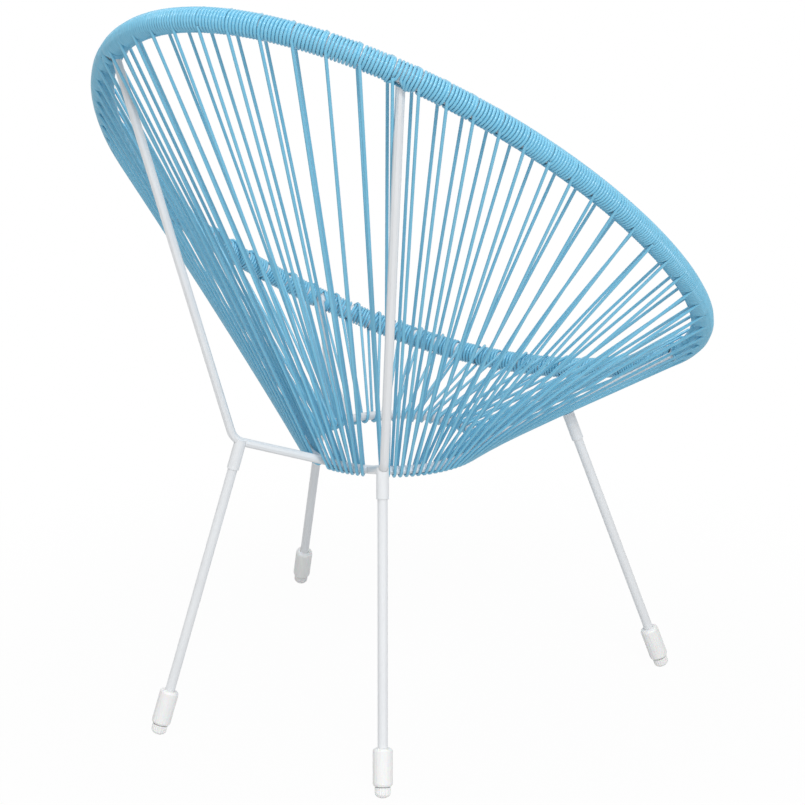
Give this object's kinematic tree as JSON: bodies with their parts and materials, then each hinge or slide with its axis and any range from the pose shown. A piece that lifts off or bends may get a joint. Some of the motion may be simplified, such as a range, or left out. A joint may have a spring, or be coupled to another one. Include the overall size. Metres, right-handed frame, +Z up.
{
  "type": "acapulco chair",
  "caption": "Egg-shaped steel hoop chair laced with round cord down to a small seat ring, on splayed rod legs with screw-in levelling feet.",
  "frame": {"origin": "on the floor under the middle of the chair's bounding box", "axes": "+Z up, the sitter faces -Y, +X is the sitter's left"},
  "size_m": [0.7232, 0.6434, 0.8528],
  "materials": {
    "cord": "round extruded polyethylene cord, light blue, soft sheen",
    "frame": "white powder coat, satin",
    "foot": "white moulded nylon",
    "steel": "zinc plated screw"
  },
  "bodies": {
    "chair_frame": {"hoop": "frame", "seat_ring": "frame", "rear_rod_left": "frame", "rear_rod_right": "frame", "front_rod_left": "frame", "front_rod_right": "frame", "socket_rear_left": "frame", "socket_rear_right": "frame", "leg_rear_left": "frame", "leg_rear_right": "frame", "foot_cap_rear_left": "foot", "foot_cap_rear_right": "foot", "socket_front_left": "frame", "socket_front_right": "frame", "leg_front_left": "frame", "leg_front_right": "frame", "foot_cap_front_left": "foot", "foot_cap_front_right": "foot", "lacing_back_left": "cord", "lacing_back_right": "cord", "lacing_shoulder_left": "cord", "lacing_shoulder_right": "cord", "lacing_high_side_left": "cord", "lacing_high_side_right": "cord", "lacing_low_side_left": "cord", "lacing_low_side_right": "cord", "lacing_knee_left": "cord", "lacing_knee_right": "cord", "lacing_front_left": "cord", "lacing_front_right": "cord"},
    "rear_left_stud": {"leveller_stud_rear_left": "steel"},
    "rear_left_knob": {"leveller_knob_rear_left": "foot"},
    "rear_right_stud": {"leveller_stud_rear_right": "steel"},
    "rear_right_knob": {"leveller_knob_rear_right": "foot"},
    "front_left_stud": {"leveller_stud_front_left": "steel"},
    "front_left_knob": {"leveller_knob_front_left": "foot"},
    "front_right_stud": {"leveller_stud_front_right": "steel"},
    "front_right_knob": {"leveller_knob_front_right": "foot"}
  },
  "joints": [
    {"name": "rear_left_extend", "type": "slide", "parent": "chair_frame", "child": "rear_left_stud", "axis": [0.1646, 0.2877, -0.9435], "range_m": [0, 0.005]},
    {"name": "rear_left_turn", "type": "hinge", "parent": "rear_left_stud", "child": "rear_left_knob", "pos_m": [0.1547, 0.26356, 0.00015], "axis": [0.1646, 0.2877, -0.9435], "range_deg": [0, 1800]},
    {"name": "rear_right_extend", "type": "slide", "parent": "chair_frame", "child": "rear_right_stud", "axis": [-0.1646, 0.2877, -0.9435], "range_m": [0, 0.005]},
    {"name": "rear_right_turn", "type": "hinge", "parent": "rear_right_stud", "child": "rear_right_knob", "pos_m": [-0.1547, 0.26356, 0.00015], "axis": [-0.1646, 0.2877, -0.9435], "range_deg": [0, 1800]},
    {"name": "front_left_extend", "type": "slide", "parent": "chair_frame", "child": "front_left_stud", "axis": [0.2829, -0.1935, -0.9394], "range_m": [0, 0.005]},
    {"name": "front_left_turn", "type": "hinge", "parent": "front_left_stud", "child": "front_left_knob", "pos_m": [0.271, -0.20204, 0.00015], "axis": [0.2829, -0.1935, -0.9394], "range_deg": [0, 1800]},
    {"name": "front_right_extend", "type": "slide", "parent": "chair_frame", "child": "front_right_stud", "axis": [-0.2829, -0.1935, -0.9394], "range_m": [0, 0.005]},
    {"name": "front_right_turn", "type": "hinge", "parent": "front_right_stud", "child": "front_right_knob", "pos_m": [-0.271, -0.20204, 0.00015], "axis": [-0.2829, -0.1935, -0.9394], "range_deg": [0, 1800]}
  ],
  "couplings": [
    {"joint": "rear_left_turn", "follows": "rear_left_extend", "rad_per_m": 6283.1},
    {"joint": "rear_right_turn", "follows": "rear_right_extend", "rad_per_m": 6283.1},
    {"joint": "front_left_turn", "follows": "front_left_extend", "rad_per_m": 6283.1},
    {"joint": "front_right_turn", "follows": "front_right_extend", "rad_per_m": 6283.1}
  ]
}
